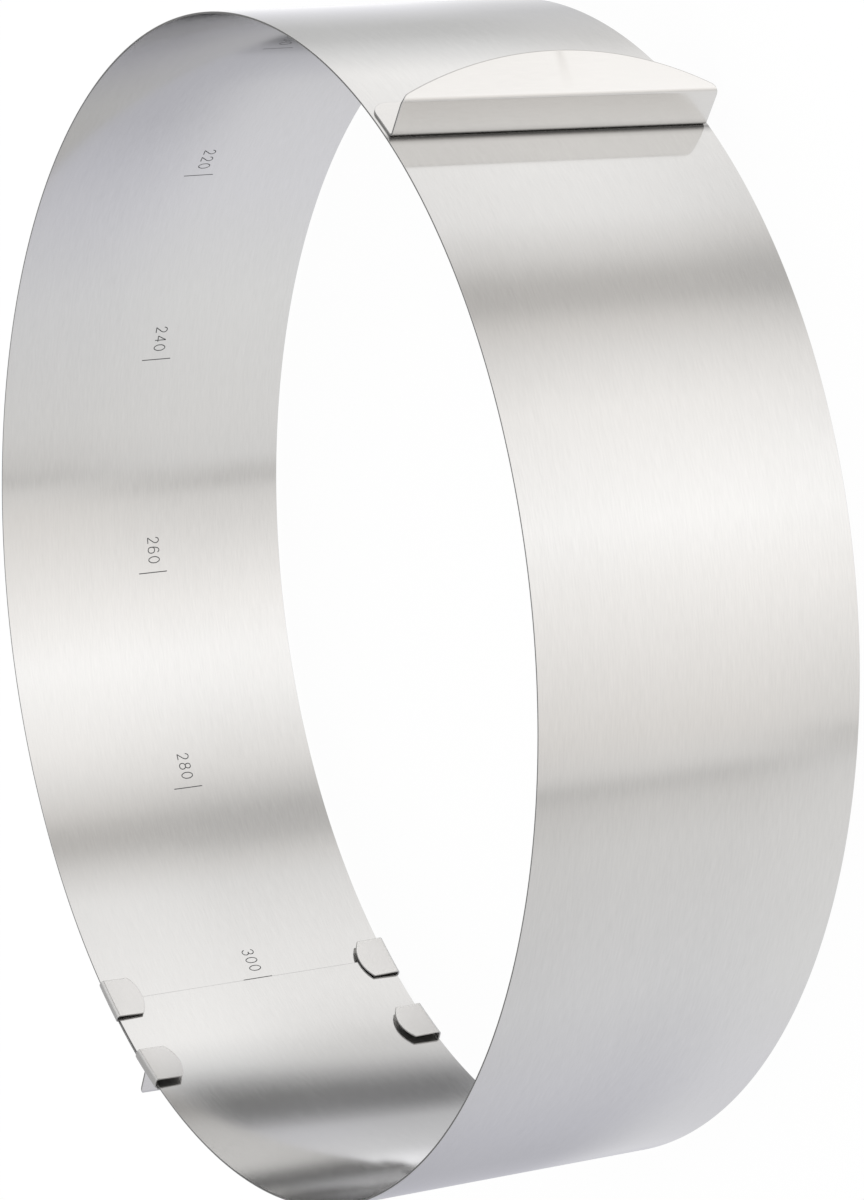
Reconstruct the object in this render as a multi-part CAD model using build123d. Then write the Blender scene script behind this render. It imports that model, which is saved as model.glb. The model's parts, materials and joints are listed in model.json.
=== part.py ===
from build123d import *
import math
import os

# An adjustable cake ring, in millimetres. One springy steel strip is rolled into a ring whose
# two ends overlap. Four lugs at its outer end fold over the rims and hold the inner end, which
# slides under them when the ring is drawn smaller. Two bent sheet handles are welded on the
# outside: one near the outer end, one half way round, where the outer end stops.
# The ring lies flat. +Z is its axis and the origin is on that axis, level with the lowest lugs.
# The strip is cut into short curved sections, so that it can close as a chain of small bends.

# The ring
largest_bore = 300.0
smallest_bore = 160.0
band_height = 86.0
strip_thickness = 0.5
layer_clearance = 0.3
section_gap = 0.05

# The lugs on both rims, with places measured along the strip from its outer end
lug_length = 13.0
end_lug_place = 7.3
scale_lug_place = 34.1
lug_side_depth = 7.2
lug_middle_depth = 9.3
lug_slot = 1.7
lug_fold_height = 0.8
lug_bend_radius = 0.25
lug_to_joint = 0.3

# The handles, which are one sheet part and its mirror image
handle_thickness = 0.6
handle_height = 10.9
handle_rim_inset = 1.0
handle_bend_radius = 0.7
handle_base_depth = 13.5
handle_base_corner = 5.0
handle_flap_depth = 10.5
handle_flap_end_depth = 0.8
end_handle_place = 9.3
stop_clearance = 0.6
handle_to_joint = 6.0

# Angles in degrees
handle_flap_rise = 45.0
middle_handle_angle = 90.0

# Counts of the sections between the end section and the middle handle's own, and past it
outer_section_count = 18
inner_section_count = 17

cut_overrun = 2.0

ring_radius = largest_bore / 2
strip_length = math.pi * largest_bore + scale_lug_place
layer_pitch = strip_thickness + layer_clearance
low_rim = lug_fold_height
high_rim = low_rim + band_height
middle_height = low_rim + band_height / 2
middle_handle_place = math.pi * smallest_bore + stop_clearance
handle_length = band_height - 2 * handle_rim_inset


def even_places(start, end, count):
    """Places that cut the stretch of strip from start to end into equal sections."""
    return [start + (end - start) * number / count for number in range(1, count + 1)]


first_joint = scale_lug_place - lug_length / 2 - lug_to_joint
handle_joint = middle_handle_place + handle_to_joint
section_places = (
    [0, first_joint]
    + even_places(first_joint, handle_joint, outer_section_count)
    + even_places(handle_joint, strip_length, inner_section_count)
)
section_count = len(section_places) - 1


def angle_at(place):
    """Angle in the ring, in degrees, of a place along the strip: the strip runs clockwise."""
    return middle_handle_angle + math.degrees((middle_handle_place - place) / ring_radius)


def radius_at(place):
    """Radius of the strip's inner face: the strip winds slowly inward, a layer a turn."""
    turns_from_middle = (strip_length / 2 - place) / (math.pi * largest_bore)
    return ring_radius + layer_pitch * turns_from_middle


def section_radius(number):
    """Inner face radius of one section, which is a true arc round the ring's axis."""
    return radius_at((section_places[number] + section_places[number + 1]) / 2)


def polar(radius, angle):
    """Point at a radius and an angle in degrees."""
    return (radius * math.cos(math.radians(angle)), radius * math.sin(math.radians(angle)))


def arc(radius, start, end):
    """Arc round the ring's axis between two angles."""
    return ThreePointArc(
        polar(radius, start), polar(radius, (start + end) / 2), polar(radius, end)
    )


def curved_wall(inner_radius, thickness, start, end, bottom, height):
    """A stretch of cylinder wall between two angles."""
    inside = arc(inner_radius, start, end)
    outside = arc(inner_radius + thickness, end, start)
    edges = [inside, Line(inside @ 1, outside @ 0), outside, Line(outside @ 1, inside @ 0)]
    return Pos(0, 0, bottom) * extrude(make_face(edges), amount=height)


def lug_outline():
    """A lug seen along the radius, with its middle on the rim: straight sides, rounded end."""
    half = lug_length / 2
    top = lug_fold_height + cut_overrun
    end_arc = ThreePointArc((-half, -lug_side_depth), (0, -lug_middle_depth), (half, -lug_side_depth))
    sides = Polyline((half, -lug_side_depth), (half, top), (-half, top), (-half, -lug_side_depth))
    return make_face([end_arc, sides])


def fold_profile(radius):
    """The U that the wall makes over the rim, cut through the ring's axis."""
    outer_radius = radius + strip_thickness
    flap_radius = radius - lug_slot - strip_thickness
    outer_bend = lug_bend_radius + strip_thickness
    bottom = high_rim - lug_middle_depth - cut_overrun
    top = high_rim + lug_fold_height
    outside = Plane.XZ * Pos((outer_radius + flap_radius) / 2, (bottom + top) / 2) * Rectangle(
        outer_radius - flap_radius, top - bottom
    )
    inside_top = top - strip_thickness
    inside = Plane.XZ * Pos(radius - lug_slot / 2, (bottom + inside_top) / 2) * Rectangle(
        lug_slot, inside_top - bottom
    )
    outside = fillet(outside.vertices().group_by(Axis.Z)[-1], outer_bend)
    inside = fillet(inside.vertices().group_by(Axis.Z)[-1], lug_bend_radius)
    return outside - inside


def high_lug(radius, place):
    """The lug on the high rim: a turned U, trimmed to the lug's outline."""
    span = math.degrees(2 * lug_length / radius)
    turned = revolve(fold_profile(radius), axis=Axis.Z, revolution_arc=span)
    turned = Rot(0, 0, angle_at(place) - span / 2) * turned
    out = polar(1, angle_at(place))
    along = polar(1, angle_at(place) + 90)
    centre = polar(radius, angle_at(place))
    face = Plane(
        origin=(centre[0], centre[1], high_rim), x_dir=(along[0], along[1], 0), z_dir=(out[0], out[1], 0)
    )
    reach = lug_slot + strip_thickness + cut_overrun
    return turned & extrude(face * lug_outline(), amount=reach, both=True)


def lug_pair(radius, place):
    """The lugs on both rims at one place along the strip."""
    high = high_lug(radius, place)
    low = mirror(high, about=Plane.XY.offset(middle_height))
    return [high, low]


def band_section(number):
    """One section of the strip, with the lugs that it carries."""
    radius = section_radius(number)
    half_gap = section_gap / 2
    start = section_places[number] + (half_gap if number > 0 else 0)
    end = section_places[number + 1] - (half_gap if number < section_count - 1 else 0)
    wall = curved_wall(
        radius, strip_thickness, angle_at(end), angle_at(start), low_rim, band_height
    )
    for place in (end_lug_place, scale_lug_place):
        if start < place < end:
            for lug in lug_pair(radius, place):
                wall = wall + lug
    return wall


def near(shape, point):
    """The vertex of a flat outline nearest to a point."""
    return shape.vertices().sort_by_distance((point[0], point[1], 0))[0]


def handle_profile(seat_radius):
    """The bent sheet seen along the ring's axis: base on the strip, wall on +Y, flap on top."""
    rise = math.radians(handle_flap_rise)
    base_end = 90 + math.degrees(handle_base_depth / seat_radius)
    top_radius = seat_radius + handle_thickness
    wall_foot = (0, seat_radius)
    fold = (0, seat_radius + handle_height)
    inner_foot = (-handle_thickness, math.sqrt(top_radius**2 - handle_thickness**2))
    along = (-math.cos(rise), math.sin(rise))
    down = (-math.sin(rise), -math.cos(rise))
    tip = (fold[0] + handle_flap_depth * along[0], fold[1] + handle_flap_depth * along[1])
    tip_below = (tip[0] + handle_thickness * down[0], tip[1] + handle_thickness * down[1])
    back = handle_thickness * (1 - math.sin(rise)) / math.cos(rise)
    inner_fold = (
        -handle_thickness, fold[1] + handle_thickness * down[1] + back * along[1]
    )
    seat = arc(seat_radius, 90, base_end)
    inner_angle = math.degrees(math.atan2(inner_foot[1], inner_foot[0]))
    base_top = arc(top_radius, base_end, inner_angle)
    sheet = Polyline(base_top @ 1, inner_fold, tip_below, tip, fold, wall_foot)
    outline = make_face([seat, Line(seat @ 1, base_top @ 0), base_top, sheet])
    outer_bend = handle_bend_radius + handle_thickness
    bends = (
        (inner_foot, handle_bend_radius),
        (inner_fold, handle_bend_radius),
        (fold, outer_bend),
        (wall_foot, outer_bend),
    )
    for corner, bend in bends:
        outline = fillet(near(outline, corner), bend)
    return outline


def handle_trim(outline, reach):
    """What is left of a rectangle round an outline, to cut a sheet's free edge to it."""
    size = outline.bounding_box().size
    centre = outline.bounding_box().center()
    frame = Pos(centre.X + cut_overrun, centre.Y) * Rectangle(
        size.X + 2 * cut_overrun, size.Y + 2 * cut_overrun
    )
    return extrude(frame - outline, amount=reach, both=True)


def base_outline():
    """The base plate seen from outside: a rectangle with rounded free corners."""
    outline = Pos(handle_base_depth / 2 - cut_overrun / 2, 0) * Rectangle(
        handle_base_depth + cut_overrun, handle_length
    )
    return fillet(outline.vertices().group_by(Axis.X)[-1], handle_base_corner)


def flap_outline():
    """The flap seen from outside: its free edge is one shallow arc from end to end."""
    half = handle_length / 2
    free_edge = ThreePointArc(
        (handle_flap_end_depth, -half), (handle_flap_depth, 0), (handle_flap_end_depth, half)
    )
    sides = Polyline(
        (handle_flap_end_depth, half), (-cut_overrun, half), (-cut_overrun, -half),
        (handle_flap_end_depth, -half),
    )
    return make_face([free_edge, sides])


def handle(seat_radius):
    """A handle whose wall stands on +Y and whose base runs toward -X."""
    rise = math.radians(handle_flap_rise)
    bottom = low_rim + handle_rim_inset
    body = Pos(0, 0, bottom) * extrude(handle_profile(seat_radius), amount=handle_length)
    base_face = Plane(origin=(0, seat_radius, middle_height), x_dir=(-1, 0, 0), z_dir=(0, 1, 0))
    flap_face = Plane(
        origin=(0, seat_radius + handle_height, middle_height),
        x_dir=(-math.cos(rise), math.sin(rise), 0),
        z_dir=(math.sin(rise), math.cos(rise), 0),
    )
    body = body - base_face * handle_trim(base_outline(), cut_overrun)
    return body - flap_face * handle_trim(flap_outline(), cut_overrun)


def section_under(place):
    """Number of the section that holds a place along the strip."""
    return max(number for number in range(section_count) if section_places[number] <= place)


def seat_radius_at(place):
    """Outer face radius of the section under a place."""
    return section_radius(section_under(place)) + strip_thickness


def middle_handle():
    """The handle half way round. Its base runs toward the outer end."""
    return Rot(0, 0, middle_handle_angle - 90) * handle(seat_radius_at(middle_handle_place))


def end_handle():
    """The handle near the outer end. Its base runs away from that end."""
    mirrored = mirror(handle(seat_radius_at(end_handle_place)), about=Plane.YZ)
    return Rot(0, 0, angle_at(end_handle_place) - 90) * mirrored


def main():
    """Write every node to its own file."""
    os.makedirs("parts", exist_ok=True)
    for number in range(section_count):
        export_step(band_section(number), f"parts/band_section_{number + 1:02d}.step")
    export_step(middle_handle(), "parts/middle_handle.step")
    export_step(end_handle(), "parts/end_handle.step")


main()
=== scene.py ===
import json
import math

import bmesh
import bpy
from mathutils import Matrix, Vector


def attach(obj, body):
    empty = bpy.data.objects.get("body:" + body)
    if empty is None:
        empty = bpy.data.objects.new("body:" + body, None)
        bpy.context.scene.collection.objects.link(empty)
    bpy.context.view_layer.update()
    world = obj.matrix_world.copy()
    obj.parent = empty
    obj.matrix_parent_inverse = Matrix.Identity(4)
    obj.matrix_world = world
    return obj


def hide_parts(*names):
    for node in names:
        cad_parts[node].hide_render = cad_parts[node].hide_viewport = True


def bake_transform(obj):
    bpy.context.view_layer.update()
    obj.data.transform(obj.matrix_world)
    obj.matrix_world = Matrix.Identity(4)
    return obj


bl_info = {
    "name": "Adjustable cake ring",
    "version": (1, 0, 0),
    "blender": (4, 5, 0),
    "location": "View3D > Sidebar > Cake Ring",
    "description": "Builds the steel strip, lugs, scale and handles of an adjustable cake ring",
    "category": "Object",
}

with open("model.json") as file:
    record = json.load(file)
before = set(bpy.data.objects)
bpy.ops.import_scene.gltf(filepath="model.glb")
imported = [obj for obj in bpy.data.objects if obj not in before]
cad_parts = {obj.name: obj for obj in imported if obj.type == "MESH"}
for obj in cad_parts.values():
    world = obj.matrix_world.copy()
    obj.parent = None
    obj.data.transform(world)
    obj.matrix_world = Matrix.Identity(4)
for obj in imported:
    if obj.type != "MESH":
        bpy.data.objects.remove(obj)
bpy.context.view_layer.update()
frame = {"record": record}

# The strip, in metres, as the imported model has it. Places run along it from the outer end.
LARGEST_BORE = 0.300
SMALLEST_BORE = 0.160
BAND_HEIGHT = 0.086
STRIP_THICKNESS = 0.0005
LAYER_PITCH = 0.0008
LOW_RIM = 0.0008
END_LUG_PLACE = 0.0073
SCALE_LUG_PLACE = 0.0341
STRIP_LENGTH = math.pi * LARGEST_BORE + SCALE_LUG_PLACE
STOP_CLEARANCE = 0.0006
HANDLE_TO_JOINT = 0.006
MIDDLE_HANDLE_PLACE = math.pi * SMALLEST_BORE + STOP_CLEARANCE
END_HANDLE_PLACE = 0.0093
FIRST_JOINT = 0.0273
HANDLE_JOINT = MIDDLE_HANDLE_PLACE + HANDLE_TO_JOINT
OUTER_SECTIONS = 18
INNER_SECTIONS = 17
RING_RADIUS = LARGEST_BORE / 2
MIDDLE_HANDLE_ANGLE = math.radians(90)
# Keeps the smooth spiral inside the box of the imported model's stepped one
BOX_CLEARANCE = 0.000006

# The lugs
LUG_LENGTH = 0.013
LUG_SIDE_DEPTH = 0.0072
LUG_MIDDLE_DEPTH = 0.0093
LUG_FOLD_HEIGHT = 0.0008
LUG_BEND_RADIUS = 0.00045
LUG_FOOT = 0.0008

# The handles
HANDLE_THICKNESS = 0.0006
HANDLE_HEIGHT = 0.0109
HANDLE_LENGTH = 0.084
HANDLE_BEND_RADIUS = 0.0007
HANDLE_FOLD_RADIUS = 0.0014
HANDLE_FLAP_CORNER = 0.0022
HANDLE_BASE_DEPTH = 0.0135
HANDLE_BASE_CORNER = 0.005
HANDLE_FLAP_DEPTH = 0.0105
HANDLE_FLAP_END_DEPTH = 0.0008
HANDLE_FLAP_RISE = math.radians(45)
# How the handles are welded on: off their places, and their upper ends toward the outer end
MIDDLE_HANDLE_SHIFT = -0.0006
MIDDLE_HANDLE_SKEW = 0.0013
END_HANDLE_SHIFT = 0.0008
END_HANDLE_SKEW = -0.0010
END_HANDLE_RISE = -0.0008

# The diameters on the scale, in millimetres, and where its marks lie, in metres. Heights are
# measured from the low rim: the feet of the digits, and the start and length of a mark's line.
SCALE_MARKS = (300, 280, 260, 240, 220, 200, 180, 160)
MARK_PAST_LUG = 0.0006
DIGITS_PAST_MARK = 0.0027
DIGITS_FOOT = 0.04156
LINE_START = 0.0449
LINE_LENGTH = 0.0088
ETCHED_RELIEF = 0.00003

# How finely the sheets are cut before they are bent
LUG_ARC_STEPS = 18
LUG_BEND_SLICES = 8
LUG_COLUMNS = 9
FLAP_ARC_STEPS = 48
BASE_CORNER_STEPS = 10
FLAP_CORNER_STEPS = 6
BASE_SLICES = 8
HANDLE_BEND_SLICES = 10
HANDLE_COLUMNS = 12
FEWEST_FACETS = 8
EDGE_FACETS = 2
STROKE_ROUNDNESS = 1
STROKE_STEPS = 4

# Limits below which a distance in metres, or a turn in radians, counts as nothing
TOUCHING = 1e-7
STRAIGHT = 1e-9
# A face whose normal rises above this is one of a sheet's two flat faces
FLAT_FACE = 0.9
# Edges that turn more than this show as sharp, on sheet metal and on the etched marks
SHEET_SHARP_ANGLE = math.radians(20)
MARK_SHARP_ANGLE = math.radians(40)
# How far a lug stands proud of both faces of the strip at its foot
LUG_SEAT = 0.00001

# A stroke with fewer points than this is drawn straight from one to the next
FEWEST_CURVED_POINTS = 4
# A digit's strokes in a box one wide and one high, as (closed, points)
DIGIT_STROKES = {
    "0": [
        (True, [(0.5, 1), (0.9, 0.78), (0.98, 0.5), (0.9, 0.22),
                (0.5, 0), (0.1, 0.22), (0.02, 0.5), (0.1, 0.78)]),
    ],
    "1": [(False, [(0.2, 0.78), (0.58, 1), (0.58, 0)])],
    "2": [
        (False, [(0.06, 0.74), (0.22, 0.95), (0.55, 1), (0.86, 0.86),
                 (0.88, 0.62), (0.55, 0.34), (0.05, 0)]),
        (False, [(0.05, 0), (0.98, 0)]),
    ],
    "3": [
        (False, [(0.06, 0.8), (0.28, 0.97), (0.62, 0.98), (0.88, 0.8), (0.8, 0.58), (0.45, 0.53)]),
        (False, [(0.45, 0.53), (0.86, 0.45), (0.96, 0.24), (0.74, 0.03), (0.34, 0.0), (0.03, 0.2)]),
    ],
    "4": [
        (False, [(0.74, 0), (0.74, 1)]),
        (False, [(0.74, 1), (0.02, 0.27)]),
        (False, [(0.02, 0.27), (1, 0.27)]),
    ],
    "6": [
        (True, [(0.5, 0.6), (0.84, 0.52), (0.97, 0.3), (0.82, 0.06),
                (0.5, 0), (0.18, 0.06), (0.03, 0.3), (0.16, 0.52)]),
        (False, [(0.03, 0.3), (0.08, 0.66), (0.3, 0.95), (0.62, 1), (0.88, 0.86)]),
    ],
    "8": [
        (True, [(0.5, 1), (0.8, 0.93), (0.88, 0.76), (0.76, 0.59),
                (0.5, 0.54), (0.24, 0.59), (0.12, 0.76), (0.2, 0.93)]),
        (True, [(0.5, 0.54), (0.84, 0.46), (0.97, 0.27), (0.84, 0.07),
                (0.5, 0), (0.16, 0.07), (0.03, 0.27), (0.16, 0.46)]),
    ],
}


class CakeRingSizes(bpy.types.PropertyGroup):
    """Sizes of the fine detail that a user may change."""

    rim_rounding: bpy.props.FloatProperty(
        name="Rim rounding", description="Rounding of the strip's rims",
        default=0.00008, min=0, unit="LENGTH",
    )
    sheet_rounding: bpy.props.FloatProperty(
        name="Cut edge rounding", description="Rounding of the cut edges of lugs and handles",
        default=0.00016, min=0, unit="LENGTH",
    )
    end_lug_slot: bpy.props.FloatProperty(
        name="End lug slot", description="Room for the inner layer under the lugs at the outer end",
        default=0.0021, min=0, unit="LENGTH",
    )
    scale_lug_slot: bpy.props.FloatProperty(
        name="Scale lug slot",
        description="Room for the inner layer under the lugs beside the scale",
        default=0.0015, min=0, unit="LENGTH",
    )
    end_lug_lean: bpy.props.FloatProperty(
        name="End lug lean", description="Lean of the end lugs' flaps toward the strip",
        default=math.radians(1.5), subtype="ANGLE",
    )
    scale_lug_lean: bpy.props.FloatProperty(
        name="Scale lug lean", description="Lean of the flaps beside the scale toward the strip",
        default=math.radians(2.5), subtype="ANGLE",
    )
    digit_height: bpy.props.FloatProperty(
        name="Digit height", description="Height of the scale's digits",
        default=0.00335, unit="LENGTH",
    )
    digit_width: bpy.props.FloatProperty(
        name="Digit width", description="Width of one digit",
        default=0.0018, unit="LENGTH",
    )
    digit_pitch: bpy.props.FloatProperty(
        name="Digit pitch", description="Step from one digit to the next",
        default=0.0028, unit="LENGTH",
    )
    stroke_width: bpy.props.FloatProperty(
        name="Stroke width", description="Width of a stroke of the scale",
        default=0.00028, unit="LENGTH",
    )
    facets: bpy.props.IntProperty(
        name="Facets", description="Facets along each span of the strip",
        default=64, min=FEWEST_FACETS,
    )


class CakeRingColours(bpy.types.PropertyGroup):
    """Colours that a user may change."""

    steel: bpy.props.FloatVectorProperty(
        name="Brushed steel", description="Colour of the strip", subtype="COLOR", size=3,
        default=(0.67, 0.667, 0.661), min=0, max=1,
    )
    handle_steel: bpy.props.FloatVectorProperty(
        name="Handle steel", description="Colour of the handles", subtype="COLOR", size=3,
        default=(0.695, 0.687, 0.676), min=0, max=1,
    )
    # The cut edges' dark colour is duller sheared steel, and partly painted shade of the gaps and
    # contact lines along the edges
    cut_edge: bpy.props.FloatVectorProperty(
        name="Cut edge", description="Colour of the sheared edges", subtype="COLOR", size=3,
        default=(0.45, 0.445, 0.44), min=0, max=1,
    )
    marks: bpy.props.FloatVectorProperty(
        name="Scale", description="Colour of the etched scale", subtype="COLOR", size=3,
        default=(0.09, 0.09, 0.095), min=0, max=1,
    )
    floor: bpy.props.FloatVectorProperty(
        name="Floor", description="Colour of the floor", subtype="COLOR", size=3,
        default=(0.86, 0.86, 0.86), min=0, max=1,
    )


# Where things lie along the strip


def even_places(start, end, count):
    """Places that cut the stretch of strip from start to end into equal sections."""
    return [start + (end - start) * number / count for number in range(1, count + 1)]


SECTION_PLACES = (
    [0, FIRST_JOINT]
    + even_places(FIRST_JOINT, HANDLE_JOINT, OUTER_SECTIONS)
    + even_places(HANDLE_JOINT, STRIP_LENGTH, INNER_SECTIONS)
)
SECTION_COUNT = len(SECTION_PLACES) - 1


def angle_at(place):
    """Angle in the ring of a place along the strip."""
    return MIDDLE_HANDLE_ANGLE + (MIDDLE_HANDLE_PLACE - place) / RING_RADIUS


def radius_at(place):
    """Radius of the strip's inner face, which winds slowly inward."""
    turns_from_middle = (STRIP_LENGTH / 2 - place) / (math.pi * LARGEST_BORE)
    return RING_RADIUS - BOX_CLEARANCE + LAYER_PITCH * turns_from_middle


def middle_of(number):
    """Place of the middle of one section."""
    return (SECTION_PLACES[number] + SECTION_PLACES[number + 1]) / 2


def body_of(node):
    """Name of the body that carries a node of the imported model."""
    for body, members in frame["record"]["behaviour"]["bodies"].items():
        if node in members:
            return body
    raise RuntimeError(f"no body carries {node}")


def body_of_section(number):
    """Name of the body that carries one section."""
    return body_of(f"band_section_{number + 1:02d}")


def rolled(place, height, depth):
    """A point of the flat strip once it is rolled: depth is outward from its inner face."""
    radius = radius_at(place) + depth
    angle = angle_at(place)
    return Vector((radius * math.cos(angle), radius * math.sin(angle), LOW_RIM + height))


# Sheet metal


def sheet_uv(mesh_builder):
    """Lays the flat sheet's own coordinates, in metres, down as its UV map."""
    layer = mesh_builder.loops.layers.uv.new("sheet")
    for face in mesh_builder.faces:
        for loop in face.loops:
            loop[layer].uv = (loop.vert.co.x, loop.vert.co.y)


def mark_cut_edges(mesh_builder):
    """Gives the cut edges round a sheet that still lies flat the second of its two finishes."""
    mesh_builder.normal_update()
    for face in mesh_builder.faces:
        face.material_index = 0 if abs(face.normal.z) > FLAT_FACE else 1


def finished_piece(
    name, mesh_builder, material, sharp_angle=SHEET_SHARP_ANGLE, edge_material=None
):
    """Turns a mesh in the making into an object with its material and its sharp edges."""
    mesh = bpy.data.meshes.new(name)
    mesh_builder.to_mesh(mesh)
    mesh_builder.free()
    for polygon in mesh.polygons:
        polygon.use_smooth = True
    mesh.set_sharp_from_angle(angle=sharp_angle)
    mesh.materials.append(material)
    if edge_material is not None:
        mesh.materials.append(edge_material)
    piece = bpy.data.objects.new(name, mesh)
    bpy.context.scene.collection.objects.link(piece)
    return piece


def slice_sheet(mesh_builder, places, normal):
    """Cuts a flat sheet at each place along a direction, so that it can bend there."""
    direction = Vector(normal)
    for place in places:
        bmesh.ops.bisect_plane(
            mesh_builder,
            geom=mesh_builder.verts[:] + mesh_builder.edges[:] + mesh_builder.faces[:],
            plane_co=direction * place, plane_no=direction,
        )


def round_edges(mesh_builder, edges, rounding):
    """Rounds edges of a sheet."""
    bmesh.ops.bevel(
        mesh_builder, geom=edges, offset=rounding, offset_type="OFFSET", affect="EDGES",
        segments=EDGE_FACETS, profile=0.5, material=-1, clamp_overlap=True,
    )


def round_outline(mesh_builder, rounding, thickness, keep):
    """Rounds the cut edges round a flat sheet's two faces, apart from those that keep picks out."""
    edges = []
    for edge in mesh_builder.edges:
        heights = [vertex.co.z for vertex in edge.verts]
        level = abs(heights[0] - heights[1]) < thickness / 4
        if level and not keep(edge):
            edges.append(edge)
    round_edges(mesh_builder, edges, rounding)


def long_edges(mesh_builder, length):
    """The edges that run the whole length of a stretch of strip that still lies flat."""
    return [
        edge for edge in mesh_builder.edges
        if abs(edge.verts[0].co.x - edge.verts[1].co.x) > length / 2
    ]


def roll_up(mesh_builder):
    """Rolls a flat sheet with the strip, and turns its faces outward."""
    for vertex in mesh_builder.verts:
        place, height, depth = vertex.co
        vertex.co = rolled(place, height, depth)
    bmesh.ops.recalc_face_normals(mesh_builder, faces=mesh_builder.faces)


def spun_arc(mesh_builder, start, centre, angle, steps):
    """Spins a vertex round a centre in the sheet's plane, and returns the arc's vertices."""
    first = mesh_builder.verts.new(start)
    before = set(mesh_builder.verts)
    bmesh.ops.spin(
        mesh_builder, geom=[first], cent=centre, axis=(0, 0, 1), angle=angle, steps=steps,
    )
    made = [vertex for vertex in mesh_builder.verts if vertex not in before]
    return [first] + sorted(made, key=lambda vertex: turn_from(start, vertex.co, centre, angle))


def turn_from(start, point, centre, angle):
    """How far round a centre a point lies from the start, in the sense of the angle."""
    first = math.atan2(start[1] - centre[1], start[0] - centre[0])
    here = math.atan2(point[1] - centre[1], point[0] - centre[0])
    turn = (here - first) * (1 if angle > 0 else -1)
    return turn % math.tau


def inner_columns(half, columns):
    """Places of the cuts that part a sheet into columns on each side of its middle."""
    return [half * step / columns for step in range(1 - columns, columns)]


def arched_end(mesh_builder, half, side, depth, steps):
    """The vertices of the shallow arc that ends a tongue, to a depth past the tongue's sides."""
    radius = (half**2 + depth**2) / (2 * depth)
    centre = (0, side + depth - radius, 0)
    return spun_arc(mesh_builder, (half, side, 0), centre, 2 * math.asin(half / radius), steps)


def close_outline(mesh_builder, loop):
    """Joins the vertices of an outline by the edges still missing, and fills it with one face."""
    for one, other in zip(loop, loop[1:] + loop[:1]):
        if mesh_builder.edges.get((one, other)) is None:
            mesh_builder.edges.new((one, other))
    bmesh.ops.contextual_create(mesh_builder, geom=mesh_builder.edges[:])


def thicken(mesh_builder, thickness):
    """Gives a flat outline its thickness, centred on the sheet's middle."""
    bmesh.ops.translate(mesh_builder, verts=mesh_builder.verts, vec=(0, 0, -thickness / 2))
    made = bmesh.ops.extrude_face_region(mesh_builder, geom=mesh_builder.faces[:])
    top = [part for part in made["geom"] if isinstance(part, bmesh.types.BMVert)]
    bmesh.ops.translate(mesh_builder, verts=top, vec=(0, 0, thickness))
    bmesh.ops.recalc_face_normals(mesh_builder, faces=mesh_builder.faces)


def along_path(stretches, distance, heading):
    """Point and heading after a distance along straight or evenly bent stretches (length, turn)."""
    point = Vector((0, 0))
    for number, (length, turn) in enumerate(stretches):
        last = number == len(stretches) - 1
        part = distance if last else min(distance, length)
        share = turn * part / length
        chord = part if abs(share) < STRAIGHT else part * math.sin(share / 2) / (share / 2)
        point += chord * Vector((math.cos(heading + share / 2), math.sin(heading + share / 2)))
        heading += share
        distance -= part
        if distance <= 0:
            break
    return point, heading


def folded_point(stretches, vertex, heading):
    """Where a flat sheet's vertex lies in the plane of the folds once the sheet follows a path."""
    point, heading = along_path(stretches, vertex.co.y, heading)
    return point + vertex.co.z * Vector((math.sin(heading), -math.cos(heading)))


def bend_places(stretches, slices):
    """Places of the cuts that let a sheet follow the bent stretches of a path."""
    places = []
    start = 0
    for length, turn in stretches:
        if turn:
            places += [start + length * step / slices for step in range(slices + 1)]
        start += length
    return places


# Finishes

# The brushed grain: its scales along and across the sheet, and the slow clouding over it
FINE_GRAIN = (230, 2600, 1)
COARSE_GRAIN = (60, 480, 1)
CLOUDS = (22, 30, 1)
FINE_SHARE = 0.7
CLOUDING = 0.04
# The detail of a noise, and how strong each finer layer of it is beside the one before
NOISE_DETAIL = 2
CLOUD_DETAIL = 3
LAYER_SHARE = 0.55
FINE_LAYER_SHARE = 0.5
# How much grain and clouds roughen the steel, and how deep the grain is
GRAIN_ROUGHNESS = 0.08
CLOUD_ROUGHNESS = 0.05
GRAIN_STRENGTH = 0.12
GRAIN_DEPTH = 0.00001
# How much the grain draws reflections out, and the turn of that, as a share of a full turn
GRAIN_PULL = 0.3
GRAIN_PULL_TURN_SHARE = 0.25
# Takes back the brightening that plain metal shows at a glancing look
EDGE_TINT = 0.89
# Roughness, and how much the grain streaks the colour, of the strip, the lugs and the handles
STRIP_ROUGHNESS = 0.12
FOLDED_ROUGHNESS = 0.19
STRIP_STREAK = 0.12
LUG_STREAK = 0.1
HANDLE_STREAK = 0.07
# The lugs mirror the studio less than the rest of the steel does
LUG_METAL = 0.72
# How far and how much metal near by shades the lugs and the handles
CORNER_REACH = 0.0025
CORNER_SAMPLES = 8
LUG_CORNER_SHADE = 0.1
HANDLE_CORNER_SHADE = 0.15
# How far and how much the middle handle's foot shades the strip
SHADE_REACH = 0.003
SHADE_DEPTH = 0.6
# Cut edges: the scales of scores and wear, how much each brightens them, and their roughness
SCORE_SCALE = 2500
WEAR_SCALE = 140
SCORE_BRIGHTENING = 0.14
WEAR_BRIGHTENING = 0.16
CUT_EDGE_DARKEST = 0.85
CUT_EDGE_SMOOTHEST = 0.32
SCORE_ROUGHNESS = 0.15
# The etched scale: how far it's still metal, its roughness, and its speckle
ETCHED_METAL = 0.3
ETCHED_ROUGHNESS = 0.6
SPECKLE_SCALE = 6000
SPECKLE_BRIGHTENING = 0.7
ETCHED_DARKEST = 0.65


def link(tree, source, socket, target, name):
    """Joins one node's output to another's input."""
    tree.links.new(source.outputs[socket], target.inputs[name])


def maths(tree, operation, *values, clamp=False):
    """A maths node on sockets or plain numbers, returning its output."""
    node = tree.nodes.new("ShaderNodeMath")
    node.operation = operation
    node.use_clamp = clamp
    for number, value in enumerate(values):
        if isinstance(value, (int, float)):
            node.inputs[number].default_value = value
        else:
            tree.links.new(value, node.inputs[number])
    return node.outputs[0]


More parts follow.
